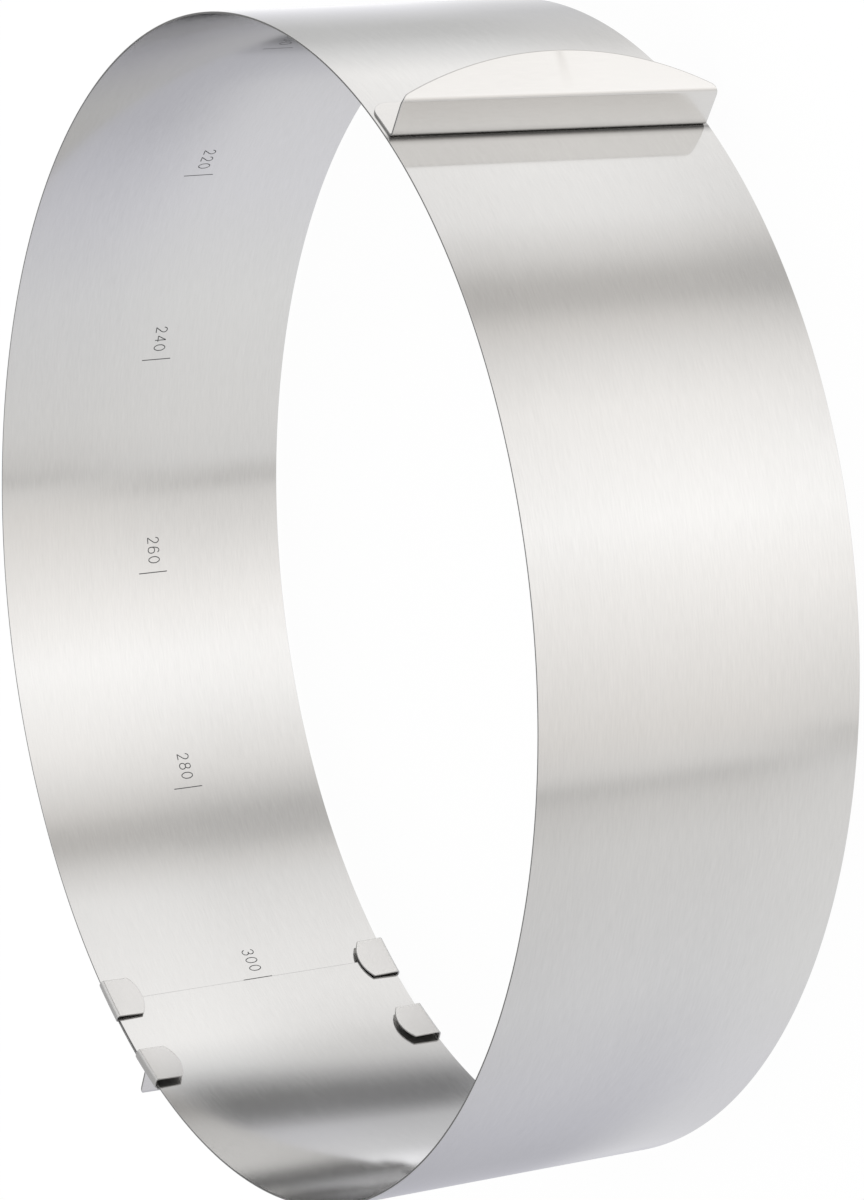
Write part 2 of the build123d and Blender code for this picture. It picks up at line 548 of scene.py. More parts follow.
def weighted_sum(tree, first, first_weight, second, second_weight):
    """Two levels added up, each times its weight."""
    return maths(
        tree, "ADD", maths(tree, "MULTIPLY", first, first_weight),
        maths(tree, "MULTIPLY", second, second_weight),
    )


def rising_share(tree, value, span):
    """Nought below a span of values, one above it, and a smooth step between."""
    rising = tree.nodes.new("ShaderNodeMapRange")
    rising.interpolation_type = "SMOOTHSTEP"
    rising.inputs["From Min"].default_value = span[0]
    rising.inputs["From Max"].default_value = span[1]
    tree.links.new(value, rising.inputs["Value"])
    return rising.outputs["Result"]


def new_finish(name):
    """A new material, its node tree and its shader."""
    material = bpy.data.materials.new(name)
    material.use_nodes = True
    tree = material.node_tree
    return material, tree, tree.nodes["Principled BSDF"]


def paint(tree, shader, colour, level):
    """Colours a shader, lighter and darker with a level near one."""
    shaded = tree.nodes.new("ShaderNodeVectorMath")
    shaded.operation = "SCALE"
    shaded.inputs[0].default_value = colour
    tree.links.new(level, shaded.inputs["Scale"])
    link(tree, shaded, "Vector", shader, "Base Color")


def sheet_place(tree):
    """The place on the flat sheet, in metres."""
    coordinates = tree.nodes.new("ShaderNodeUVMap")
    coordinates.uv_map = "sheet"
    return coordinates.outputs["UV"]


def object_place(tree):
    """The place in the ring's own frame, in metres."""
    return tree.nodes.new("ShaderNodeTexCoord").outputs["Object"]


def split(tree, place):
    """The X, Y and Z of a place."""
    separate = tree.nodes.new("ShaderNodeSeparateXYZ")
    tree.links.new(place, separate.inputs["Vector"])
    return separate.outputs


def even_noise(tree, scale):
    """Noise that is alike in all directions, from 0 to 1."""
    noise = tree.nodes.new("ShaderNodeTexNoise")
    noise.inputs["Scale"].default_value = scale
    noise.inputs["Detail"].default_value = NOISE_DETAIL
    tree.links.new(object_place(tree), noise.inputs["Vector"])
    return noise.outputs["Fac"]


def stretched_noise(tree, scale, detail=NOISE_DETAIL, layer_share=LAYER_SHARE):
    """Noise stretched by a scale along and across the sheet, from 0 to 1."""
    mapping = tree.nodes.new("ShaderNodeMapping")
    mapping.inputs["Scale"].default_value = scale
    tree.links.new(sheet_place(tree), mapping.inputs["Vector"])
    noise = tree.nodes.new("ShaderNodeTexNoise")
    noise.noise_dimensions = "2D"
    noise.inputs["Scale"].default_value = 1
    noise.inputs["Detail"].default_value = detail
    noise.inputs["Roughness"].default_value = layer_share
    link(tree, mapping, "Vector", noise, "Vector")
    return noise.outputs["Fac"]


def nearness(tree, distance):
    """How much other metal stands near, from 0 in the open to 1 in a corner."""
    near = tree.nodes.new("ShaderNodeAmbientOcclusion")
    near.samples = CORNER_SAMPLES
    near.inputs["Distance"].default_value = distance
    return maths(tree, "SUBTRACT", 1, near.outputs["AO"])


def shade_beside_handle(tree):
    """Darkens the strip close beside the middle handle's foot."""
    place = split(tree, sheet_place(tree))
    lean = maths(
        tree, "MULTIPLY_ADD", place["Y"], MIDDLE_HANDLE_SKEW / (HANDLE_LENGTH / 2),
        -MIDDLE_HANDLE_SKEW * BAND_HEIGHT / HANDLE_LENGTH,
    )
    foot = MIDDLE_HANDLE_PLACE + MIDDLE_HANDLE_SHIFT
    away = maths(tree, "SUBTRACT", maths(tree, "ADD", place["X"], lean), foot)
    away = maths(tree, "ABSOLUTE", away)
    near = maths(tree, "SUBTRACT", 1, maths(tree, "DIVIDE", away, SHADE_REACH), clamp=True)
    return maths(tree, "MULTIPLY_ADD", maths(tree, "POWER", near, 2), -SHADE_DEPTH, 1)


def brushed_steel(name, colour, roughness, streak, corner_shade=0, metal=1, beside_handle=False):
    """Brushed stainless steel whose grain runs along the sheet's first coordinate."""
    material, tree, shader = new_finish(name)
    shader.inputs["Metallic"].default_value = metal
    shader.inputs["Specular Tint"].default_value = (EDGE_TINT, EDGE_TINT, EDGE_TINT, 1)
    shader.inputs["Anisotropic"].default_value = GRAIN_PULL
    shader.inputs["Anisotropic Rotation"].default_value = GRAIN_PULL_TURN_SHARE
    tangent = tree.nodes.new("ShaderNodeTangent")
    tangent.direction_type = "UV_MAP"
    tangent.uv_map = "sheet"
    link(tree, tangent, "Tangent", shader, "Tangent")
    fine = stretched_noise(tree, FINE_GRAIN, layer_share=FINE_LAYER_SHARE)
    coarse = stretched_noise(tree, COARSE_GRAIN)
    cloud = stretched_noise(tree, CLOUDS, CLOUD_DETAIL)
    grain = weighted_sum(tree, fine, FINE_SHARE, coarse, 1 - FINE_SHARE)
    shade = maths(tree, "MULTIPLY_ADD", grain, streak, 1 - streak / 2)
    clouded = maths(tree, "MULTIPLY_ADD", cloud, CLOUDING, 1 - CLOUDING / 2)
    level = maths(tree, "MULTIPLY", shade, clouded)
    if corner_shade:
        shaded = maths(tree, "MULTIPLY_ADD", nearness(tree, CORNER_REACH), -corner_shade, 1)
        level = maths(tree, "MULTIPLY", level, shaded)
    if beside_handle:
        level = maths(tree, "MULTIPLY", level, shade_beside_handle(tree))
    paint(tree, shader, colour, level)
    rough = weighted_sum(tree, grain, GRAIN_ROUGHNESS, cloud, CLOUD_ROUGHNESS)
    rough = maths(tree, "ADD", rough, roughness - (GRAIN_ROUGHNESS + CLOUD_ROUGHNESS) / 2)
    tree.links.new(rough, shader.inputs["Roughness"])
    bump = tree.nodes.new("ShaderNodeBump")
    bump.inputs["Strength"].default_value = GRAIN_STRENGTH
    bump.inputs["Distance"].default_value = GRAIN_DEPTH
    tree.links.new(grain, bump.inputs["Height"])
    link(tree, bump, "Normal", shader, "Normal")
    return material


def cut_steel(name, colour):
    """The duller, finely scored face that shears leave, worn a little brighter in places. Its dark
    colour is partly painted shade of the gaps along the edges.
    """
    material, tree, shader = new_finish(name)
    shader.inputs["Metallic"].default_value = 1
    scores = even_noise(tree, SCORE_SCALE)
    wear = even_noise(tree, WEAR_SCALE)
    brightening = weighted_sum(tree, scores, SCORE_BRIGHTENING, wear, WEAR_BRIGHTENING)
    paint(tree, shader, colour, maths(tree, "ADD", brightening, CUT_EDGE_DARKEST))
    rough = maths(tree, "MULTIPLY_ADD", scores, SCORE_ROUGHNESS, CUT_EDGE_SMOOTHEST)
    tree.links.new(rough, shader.inputs["Roughness"])
    return material


def etched_mark(name, colour):
    """The dark, matt trace that etching leaves on steel."""
    material, tree, shader = new_finish(name)
    shader.inputs["Metallic"].default_value = ETCHED_METAL
    shader.inputs["Roughness"].default_value = ETCHED_ROUGHNESS
    speckle = even_noise(tree, SPECKLE_SCALE)
    level = maths(tree, "MULTIPLY_ADD", speckle, SPECKLE_BRIGHTENING, ETCHED_DARKEST)
    paint(tree, shader, colour, level)
    return material


def finish_named(name):
    """One of the ring's finishes, made when it is first asked for."""
    found = bpy.data.materials.get(name)
    if found is not None:
        return found
    colours = bpy.context.scene.cake_ring_colours
    if name == "brushed_strip":
        return brushed_steel(name, colours.steel, STRIP_ROUGHNESS, STRIP_STREAK)
    if name == "brushed_strip_by_handle":
        return brushed_steel(
            name, colours.steel, STRIP_ROUGHNESS, STRIP_STREAK, beside_handle=True
        )
    if name == "brushed_lug":
        return brushed_steel(
            name, colours.handle_steel, FOLDED_ROUGHNESS, LUG_STREAK,
            corner_shade=LUG_CORNER_SHADE, metal=LUG_METAL,
        )
    if name == "brushed_handle":
        return brushed_steel(
            name, colours.handle_steel, FOLDED_ROUGHNESS, HANDLE_STREAK,
            corner_shade=HANDLE_CORNER_SHADE,
        )
    if name == "cut_edge":
        return cut_steel(name, colours.cut_edge)
    if name == "etched_scale":
        return etched_mark(name, colours.marks)
    raise RuntimeError(f"no finish is named {name}")


# The strip


def strip_span(name, start, end, rounded_ends):
    """A stretch of the strip between two places, made flat, cut into facets and rolled."""
    sizes = bpy.context.scene.cake_ring_sizes
    bm = bmesh.new()
    bmesh.ops.create_cube(bm, size=1)
    length = end - start
    bmesh.ops.scale(bm, verts=bm.verts, vec=(length, BAND_HEIGHT, STRIP_THICKNESS))
    bmesh.ops.translate(
        bm, verts=bm.verts, vec=((start + end) / 2, BAND_HEIGHT / 2, STRIP_THICKNESS / 2)
    )
    ends = [
        edge for edge in bm.edges for place in rounded_ends
        if all(abs(vertex.co.x - place) < TOUCHING for vertex in edge.verts)
    ]
    round_edges(bm, ends, sizes.sheet_rounding)
    round_edges(bm, long_edges(bm, length), sizes.rim_rounding)
    section_length = (HANDLE_JOINT - FIRST_JOINT) / OUTER_SECTIONS
    facets = max(FEWEST_FACETS, round(sizes.facets * length / section_length))
    bmesh.ops.subdivide_edges(
        bm, edges=long_edges(bm, length), cuts=facets - 1, use_grid_fill=True
    )
    sheet_uv(bm)
    mark_cut_edges(bm)
    roll_up(bm)
    before_handle = end <= MIDDLE_HANDLE_PLACE - HANDLE_BASE_DEPTH
    past_handle = start >= MIDDLE_HANDLE_PLACE + HANDLE_BASE_DEPTH
    plain = before_handle or past_handle
    finish = finish_named("brushed_strip" if plain else "brushed_strip_by_handle")
    return finished_piece(name, bm, finish, edge_material=finish_named("cut_edge"))


def carry_span(piece):
    """Bakes a piece's placing into its mesh."""
    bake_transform(piece)


class CAKERING_OT_strip(bpy.types.Operator):
    """Build the steel strip as stretches that part at the middles of its sections"""

    bl_idname = "cake_ring.strip"
    bl_label = "Build the strip"

    def execute(self, context):
        outer = strip_span("strip_outer_end", 0, middle_of(0), (0,))
        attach(outer, body_of_section(0))
        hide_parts("band_section_01")
        for number in range(SECTION_COUNT - 1):
            name = f"strip_{number + 1:02d}_to_{number + 2:02d}"
            span = strip_span(name, middle_of(number), middle_of(number + 1), ())
            carry_span(span)
            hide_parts(f"band_section_{number + 1:02d}", f"band_section_{number + 2:02d}")
        last = SECTION_COUNT - 1
        inner = strip_span("strip_inner_end", middle_of(last), STRIP_LENGTH, (STRIP_LENGTH,))
        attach(inner, body_of_section(last))
        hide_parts(f"band_section_{last + 1:02d}")
        return {"FINISHED"}


# The lugs


def lug(name, place, slot, lean, on_high_rim):
    """A lug: a flat tongue with an arched end, folded over the rim and rolled with the strip."""
    sizes = bpy.context.scene.cake_ring_sizes
    half = LUG_LENGTH / 2
    middle_bend = LUG_BEND_RADIUS + STRIP_THICKNESS / 2
    rise = LUG_FOLD_HEIGHT - STRIP_THICKNESS - LUG_BEND_RADIUS
    quarter = middle_bend * math.pi / 2
    stretches = [
        (LUG_FOOT + rise, 0),
        (quarter, math.pi / 2),
        (slot - 2 * LUG_BEND_RADIUS, 0),
        (quarter + middle_bend * lean, math.pi / 2 + lean),
        (LUG_MIDDLE_DEPTH, 0),
    ]
    folded = sum(length for length, _ in stretches[:-1])
    bm = bmesh.new()
    arc = arched_end(
        bm, half, folded + rise + LUG_SIDE_DEPTH, LUG_MIDDLE_DEPTH - LUG_SIDE_DEPTH, LUG_ARC_STEPS
    )
    corners = [bm.verts.new((-half, 0, 0)), bm.verts.new((half, 0, 0))]
    close_outline(bm, arc + corners)
    thicken(bm, STRIP_THICKNESS)
    round_outline(
        bm, sizes.sheet_rounding, STRIP_THICKNESS,
        lambda edge: all(vertex.co.y < TOUCHING for vertex in edge.verts),
    )
    slice_sheet(bm, bend_places(stretches, LUG_BEND_SLICES), (0, 1, 0))
    slice_sheet(bm, inner_columns(half, LUG_COLUMNS), (1, 0, 0))
    bmesh.ops.translate(bm, verts=bm.verts, vec=(place, 0, 0))
    sheet_uv(bm)
    mark_cut_edges(bm)
    for vertex in bm.verts:
        point = folded_point(stretches, vertex, math.pi / 2)
        depth = STRIP_THICKNESS / 2 + point.x + math.copysign(LUG_SEAT, vertex.co.z)
        height = BAND_HEIGHT - LUG_FOOT + point.y
        if not on_high_rim:
            height = BAND_HEIGHT - height
        vertex.co = rolled(vertex.co.x, height, depth)
    bmesh.ops.recalc_face_normals(bm, faces=bm.faces)
    return finished_piece(
        name, bm, finish_named("brushed_lug"), edge_material=finish_named("cut_edge")
    )


class CAKERING_OT_lugs(bpy.types.Operator):
    """Build the four lugs that fold over the rims and guide the inner end"""

    bl_idname = "cake_ring.lugs"
    bl_label = "Build the lugs"

    def execute(self, context):
        sizes = context.scene.cake_ring_sizes
        for rim, on_high_rim in (("high", True), ("low", False)):
            end_lug = lug(
                f"end_lug_{rim}", END_LUG_PLACE, sizes.end_lug_slot, sizes.end_lug_lean, on_high_rim
            )
            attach(end_lug, body_of_section(0))
            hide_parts("band_section_01")
            scale_lug = lug(
                f"scale_lug_{rim}", SCALE_LUG_PLACE, sizes.scale_lug_slot, sizes.scale_lug_lean,
                on_high_rim,
            )
            carry_span(scale_lug)
            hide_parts("band_section_02")
        return {"FINISHED"}


# The scale


def stroke(bm, points, closed):
    """Adds one stroke of the scale, a round trace through its points that is flattened later."""
    sizes = bpy.context.scene.cake_ring_sizes
    curve = bpy.data.curves.new("stroke", "CURVE")
    curve.dimensions = "3D"
    curve.bevel_depth = sizes.stroke_width / 2
    curve.bevel_resolution = STROKE_ROUNDNESS
    curve.resolution_u = STROKE_STEPS
    curve.use_fill_caps = True
    spline = curve.splines.new("BEZIER")
    spline.bezier_points.add(len(points) - 1)
    straight = len(points) < FEWEST_CURVED_POINTS
    for knot, point in zip(spline.bezier_points, points):
        knot.co = (point[0], point[1], 0)
        knot.handle_left_type = knot.handle_right_type = "VECTOR" if straight else "AUTO"
    spline.use_cyclic_u = closed
    drawn = bpy.data.objects.new("stroke", curve)
    mesh = bpy.data.meshes.new_from_object(drawn)
    bm.from_mesh(mesh)
    bpy.data.objects.remove(drawn)
    bpy.data.curves.remove(curve)
    bpy.data.meshes.remove(mesh)


def mark_place(diameter):
    """Place along the strip of the mark for a diameter in millimetres."""
    return SCALE_LUG_PLACE + MARK_PAST_LUG + (LARGEST_BORE - diameter / 1000) * math.pi


def draw_label(bm, diameter):
    """Draws one mark. Its digits read toward the outer end, with their tops toward the low rim."""
    sizes = bpy.context.scene.cake_ring_sizes
    place = mark_place(diameter)
    for number, digit in enumerate(reversed(str(diameter))):
        right = place + DIGITS_PAST_MARK + number * sizes.digit_pitch
        for closed, points in DIGIT_STROKES[digit]:
            drawn = [
                (right + (1 - x) * sizes.digit_width, DIGITS_FOOT - y * sizes.digit_height)
                for x, y in points
            ]
            stroke(bm, drawn, closed)
    stroke(bm, [(place, LINE_START), (place, LINE_START - LINE_LENGTH)], False)


class CAKERING_OT_scale(bpy.types.Operator):
    """Etch the scale of diameters into the strip's inner face"""

    bl_idname = "cake_ring.scale"
    bl_label = "Etch the scale"

    def execute(self, context):
        sizes = context.scene.cake_ring_sizes
        drawing = bmesh.new()
        for diameter in SCALE_MARKS:
            draw_label(drawing, diameter)
        flatten = (1, 1, ETCHED_RELIEF / sizes.stroke_width)
        bmesh.ops.scale(drawing, verts=drawing.verts, vec=flatten)
        for number in range(SECTION_COUNT - 1):
            start, end = middle_of(number), middle_of(number + 1)
            bm = drawing.copy()
            for place, side in ((start, -1), (end, 1)):
                bmesh.ops.bisect_plane(
                    bm, geom=bm.verts[:] + bm.edges[:] + bm.faces[:],
                    plane_co=(place, 0, 0), plane_no=(side, 0, 0), clear_outer=True,
                )
            if not bm.faces:
                bm.free()
                continue
            bmesh.ops.holes_fill(bm, edges=bm.edges, sides=0)
            sheet_uv(bm)
            roll_up(bm)
            marks = finished_piece(
                f"scale_marks_{number + 1:02d}", bm, finish_named("etched_scale"), MARK_SHARP_ANGLE
            )
            carry_span(marks)
            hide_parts(f"band_section_{number + 1:02d}")
        drawing.free()
        return {"FINISHED"}


# The handles


def handle_sheet(name, seat_place, seat_radius, mirrored, skew, rise):
    """A handle: one flat sheet with a rounded base and an arched flap, folded twice.

    It is welded on a little askew: skew is how far its upper end stands toward the outer end of
    the strip, and rise is how far the whole handle is above the strip's middle.
    """
    sizes = bpy.context.scene.cake_ring_sizes
    thickness = HANDLE_THICKNESS
    half = HANDLE_LENGTH / 2
    middle_bend = HANDLE_BEND_RADIUS + thickness / 2
    corner_setback = HANDLE_BEND_RADIUS + thickness
    flap_turn = math.pi / 2 - HANDLE_FLAP_RISE
    fold_middle = HANDLE_FOLD_RADIUS + thickness / 2
    fold_setback = (HANDLE_FOLD_RADIUS + thickness) * math.tan(flap_turn / 2)
    base_run = HANDLE_BASE_DEPTH - corner_setback
    seat_middle = seat_radius + thickness / 2
    stretches = [
        (base_run, -base_run / seat_middle),
        (middle_bend * math.pi / 2, math.pi / 2),
        (HANDLE_HEIGHT - corner_setback - fold_setback, 0),
        (fold_middle * flap_turn, flap_turn),
        (HANDLE_FLAP_DEPTH, 0),
    ]
    flap_start = sum(length for length, _ in stretches[:-1]) - fold_setback
    bm = bmesh.new()
    arc = arched_end(
        bm, half, flap_start + HANDLE_FLAP_END_DEPTH, HANDLE_FLAP_DEPTH - HANDLE_FLAP_END_DEPTH,
        FLAP_ARC_STEPS,
    )
    corner = HANDLE_BASE_CORNER
    near_corner = spun_arc(
        bm, (-half, corner, 0), (-half + corner, corner, 0), math.pi / 2, BASE_CORNER_STEPS
    )
    far_corner = spun_arc(
        bm, (half - corner, 0, 0), (half - corner, corner, 0), math.pi / 2, BASE_CORNER_STEPS
    )
    close_outline(bm, arc + near_corner + far_corner)
    bmesh.ops.bevel(
        bm, geom=[arc[0], arc[-1]], offset=HANDLE_FLAP_CORNER, offset_type="OFFSET",
        affect="VERTICES", segments=FLAP_CORNER_STEPS, profile=0.5, material=-1,
    )
    thicken(bm, thickness)
    round_outline(bm, sizes.sheet_rounding, thickness, lambda edge: False)
    cuts = [base_run * step / BASE_SLICES for step in range(1, BASE_SLICES)]
    cuts += bend_places([(base_run, 0)] + stretches[1:], HANDLE_BEND_SLICES)
    slice_sheet(bm, cuts, (0, 1, 0))
    slice_sheet(bm, inner_columns(half, HANDLE_COLUMNS), (1, 0, 0))
    sheet_uv(bm)
    mark_cut_edges(bm)
    base_heading = base_run / seat_middle
    for vertex in bm.verts:
        point = folded_point(stretches, vertex, base_heading)
        vertex.co = Vector((point.x, point.y, vertex.co.x))
    foot, _ = along_path(stretches, base_run, base_heading)
    bmesh.ops.translate(bm, verts=bm.verts, vec=(-foot.x, seat_middle - foot.y, 0))
    settle = Matrix.Rotation(corner_setback / seat_middle, 4, "Z")
    bmesh.ops.transform(bm, matrix=settle, verts=bm.verts)
    if mirrored:
        bmesh.ops.scale(bm, verts=bm.verts, vec=(-1, 1, 1))
    for vertex in bm.verts:
        askew = Matrix.Rotation(skew * vertex.co.z / half / seat_middle, 4, "Z")
        vertex.co = askew @ vertex.co
    turn = Matrix.Rotation(angle_at(seat_place) - math.pi / 2, 4, "Z")
    bmesh.ops.transform(bm, matrix=turn, verts=bm.verts)
    bmesh.ops.translate(bm, verts=bm.verts, vec=(0, 0, LOW_RIM + BAND_HEIGHT / 2 + rise))
    bmesh.ops.recalc_face_normals(bm, faces=bm.faces)
    return finished_piece(
        name, bm, finish_named("brushed_handle"), edge_material=finish_named("cut_edge")
    )


class CAKERING_OT_handles(bpy.types.Operator):
    """Build the two folded sheet handles"""

    bl_idname = "cake_ring.handles"
    bl_label = "Build the handles"

    def execute(self, context):
        for name, place, mirrored, skew, rise in (
            (
                "middle_handle", MIDDLE_HANDLE_PLACE + MIDDLE_HANDLE_SHIFT, False,
                MIDDLE_HANDLE_SKEW, 0,
            ),
            (
                "end_handle", END_HANDLE_PLACE + END_HANDLE_SHIFT, True,
                END_HANDLE_SKEW, END_HANDLE_RISE,
            ),
        ):
            seat = radius_at(place) + STRIP_THICKNESS
            piece = handle_sheet(f"{name}_sheet", place, seat, mirrored, skew, rise)
            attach(piece, body_of(name))
            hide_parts(name)
        return {"FINISHED"}


# The stage


def grey(level):
    """Linear value of a grey given as a display level from 0 to 255, by the usual curve."""
    share = level / 255
    return share / 12.92 if share <= 0.04045 else ((share + 0.055) / 1.055) ** 2.4


def compass_ramp(tree, share, stops):
    """Brightness by the compass. Stops are (degrees, display level, warmth)."""
    ramp = tree.nodes.new("ShaderNodeValToRGB")
    elements = ramp.color_ramp.elements
    while len(elements) > 1:
        elements.remove(elements[0])
    for number, (degrees, level, warmth) in enumerate(sorted(stops)):
        place = (degrees + 180) / 360
        element = elements[0] if number == 0 else elements.new(place)
        element.position = place
        value = grey(level)
        element.color = (
            value * (1 + warmth), value * (1 + min(warmth, 0)), value * (1 - warmth), 1
        )
    tree.links.new(share, ramp.inputs["Fac"])
    return ramp.outputs["Color"]


# Three rows of the studio's wall by compass: degrees, brightness of steel that shows it, warmth.
# Both faces of the ring show the middle row toward the upper rim, and pass into the foot toward
# the lower one. Folded edges show the top.
FOOT_WALL = (
    (-180, 196, -0.01), (-168, 211, -0.01), (-158, 222, -0.01), (-145, 215, -0.02),
    (-120, 165, -0.03), (-112, 178, -0.03), (-104, 190, -0.03), (-97, 202, -0.02),
    (-85, 206, -0.02), (-60, 209, -0.02), (-30, 211, 0.0), (0, 209, 0.01), (10, 206, 0.01),
    (13, 188, 0.02), (15.5, 185, 0.02), (17.5, 204, 0.02), (25, 213, 0.02), (42, 236, 0.02),
    (54, 246, 0.01), (62, 242, 0.01), (81, 217, 0.02), (87, 197, 0.02), (92, 173, 0.02),
    (98, 177, 0.02), (104, 203, 0.02), (109, 214, 0.01), (115, 220, 0.01), (128, 227, 0.01),
    (142, 228, 0.01), (151, 222, 0.01), (160, 203, 0.01), (180, 194, -0.01),
)
MIDDLE_WALL = (
    (-180, 202, -0.01), (-171, 220, -0.02), (-162, 231, -0.01), (-156, 238, -0.01),
    (-152, 250, -0.01), (-145, 250, -0.01), (-128, 190, -0.02), (-110, 176, -0.04),
    (-85, 179, -0.04), (-69, 189, -0.04), (-53, 196, -0.03), (-30, 203, -0.01), (0, 202, 0.01),
    (8, 195, 0.02), (11, 182, 0.02), (13.5, 206, 0.02), (20, 213, 0.03), (43, 238, 0.02),
    (54, 249, 0.01), (73, 236, 0.02), (82, 219, 0.02), (88, 203, 0.03), (92, 180, 0.03),
    (96, 180, 0.03), (101, 206, 0.02), (109, 227, 0.01), (150, 239, 0.01), (159, 214, 0.0),
    (166, 192, 0.0), (173, 188, 0.0), (180, 202, -0.01),
)
TOP_WALL = (
    (-180, 140, 0.0), (-150, 118, 0.0), (-115, 118, 0.0), (-80, 145, 0.0), (-30, 185, 0.0),
    (60, 225, 0.0), (150, 190, 0.0), (180, 140, 0.0),
)
# Heights over which one row passes into the next
FOOT_BLEND = (-0.305, -0.250)
TOP_BLEND = (0.05, 0.3)
# Heights over which the wall dims a little, and by how much
DIMMING_SPAN = (-0.220, -0.165)
DIMMING = 0.05
# A dark scrim beside the ring. The photograph's camera sees it in the ring's inside alone. It
# fades from its core's reach to its edge's, each given across and upright, and leans.
SCRIM_PLACE = (-0.170, -0.083, -0.071)
SCRIM_CORE = (0.006, 0.040)
SCRIM_EDGE = (0.054, 0.067)
SCRIM_LEAN = 0.25
SCRIM_DARKNESS = 0.66
# The thinner gauze on one side of it, which fades in the same way
SKIRT_PLACE = -0.057
SKIRT_CORE = 0.020
SKIRT_EDGE = 0.060
SKIRT_DARKNESS = 0.26
# Steel's colour times this is white, so that the rows can be given as the steel shows them
STEEL_LIFT = 1.49
STUDIO_RADIUS = 0.6
STUDIO_HEIGHT = 4 * STUDIO_RADIUS
STUDIO_SIDES = 96

# The camera of the photograph: its lens and sensor in millimetres, the nearest and the furthest
# that it sees, its place, and its right and back
CAMERA_LENS = 132.95
CAMERA_SENSOR = 36
CAMERA_REACH = (0.01, 100)
CAMERA_PLACE = (0.69330, 0.73262, 0.56715)
CAMERA_RIGHT = (0.40434, 0.25870, -0.87726)
CAMERA_BACK = (0.60576, 0.64289, 0.46878)

# The lamps: name, place, size and power
LAMPS = (
    ("soft_lamp_above", (0.5, -0.3, 2.2), 1.8, 14),
    ("soft_lamp_side", (-1.4, 1.2, 1.5), 1.6, 8),
)
LAMPS_AIM = (0, 0, 0.04)
FLOOR_REACH = 12
FLOOR_ROUGHNESS = 0.9
MOTTLE_SCALE = 3
MOTTLE_DEPTH = 0.02
# The share of plain white in what the camera sees of the floor. The rest keeps the shadow.
FLOOR_WHITENESS = 0.95
# The grey that metal shows of the world above and below the studio's wall
WORLD_GREY = 0.8


def blend_rows(tree, height, span, below, above):
    """Passes from one row of the wall to the row above it over a span of heights."""
    mix = tree.nodes.new("ShaderNodeMix")
    mix.data_type = "RGBA"
    tree.links.new(rising_share(tree, height, span), mix.inputs["Factor"])
    tree.links.new(below, mix.inputs["A"])
    tree.links.new(above, mix.inputs["B"])
    return mix.outputs["Result"]


def studio_wall():
    """The round wall of the studio, which only reflections show."""
    material, tree, shader = new_finish("studio_wall")
    tree.nodes.remove(shader)
    place = split(tree, object_place(tree))
    azimuth = maths(tree, "ARCTAN2", place["Y"], place["X"])
    share = maths(tree, "MULTIPLY_ADD", azimuth, 1 / math.tau, 0.5)
    foot, middle, top = [
        compass_ramp(tree, share, row) for row in (FOOT_WALL, MIDDLE_WALL, TOP_WALL)
    ]
    colour = blend_rows(tree, place["Z"], FOOT_BLEND, foot, middle)
    colour = blend_rows(tree, place["Z"], TOP_BLEND, colour, top)
    dimming = rising_share(tree, place["Z"], DIMMING_SPAN)
    strength = maths(tree, "MULTIPLY_ADD", dimming, -STEEL_LIFT * DIMMING, STEEL_LIFT)
    glow = tree.nodes.new("ShaderNodeEmission")
    tree.links.new(strength, glow.inputs["Strength"])
    tree.links.new(colour, glow.inputs["Color"])
    link(tree, glow, "Emission", tree.nodes["Material Output"], "Surface")
    bm = bmesh.new()
    bmesh.ops.create_cone(
        bm, cap_ends=False, segments=STUDIO_SIDES, radius1=STUDIO_RADIUS, radius2=STUDIO_RADIUS,
        depth=STUDIO_HEIGHT,
    )
    bmesh.ops.reverse_faces(bm, faces=bm.faces)
    show_in_reflections_only(finished_piece("studio_wall", bm, material))


def show_in_reflections_only(card):
    """Hides a card of the studio from the camera and from all light but reflections."""
    card.visible_camera = False
    card.visible_diffuse = False
    card.visible_transmission = False
    card.visible_volume_scatter = False
    card.visible_shadow = False


def fade(tree, distance, core, edge):
    """One within the core's distance of nought, falling smoothly to nought at the edge's."""
    away = maths(tree, "ABSOLUTE", distance)
    return maths(tree, "SUBTRACT", 1, rising_share(tree, away, (core, edge)))


